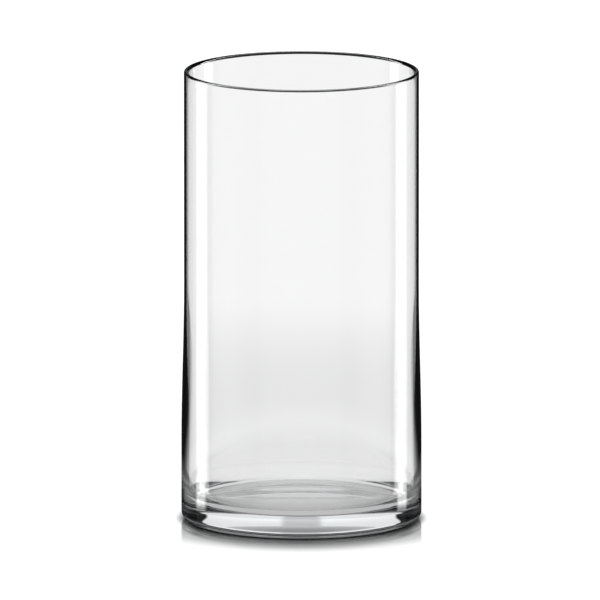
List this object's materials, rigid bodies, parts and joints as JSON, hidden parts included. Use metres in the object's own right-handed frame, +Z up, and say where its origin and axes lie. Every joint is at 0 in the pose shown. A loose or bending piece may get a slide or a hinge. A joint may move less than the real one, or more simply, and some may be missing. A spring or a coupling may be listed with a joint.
{
  "type": "glass cylinder vase",
  "caption": "Tall clear glass cylinder vase with a straight round bore, a rounded lip and a heavy solid base.",
  "frame": {"origin": "centre of the plane that the vase stands on", "axes": "+Z up along the axis of the bore, out of the mouth; the body is round, so +X and +Y are free"},
  "size_m": [0.121, 0.121, 0.2286],
  "materials": {
    "clear_glass": "fire-polished, smooth and clear"
  },
  "bodies": {
    "root": {"vase_body": "clear_glass"}
  },
  "joints": []
}
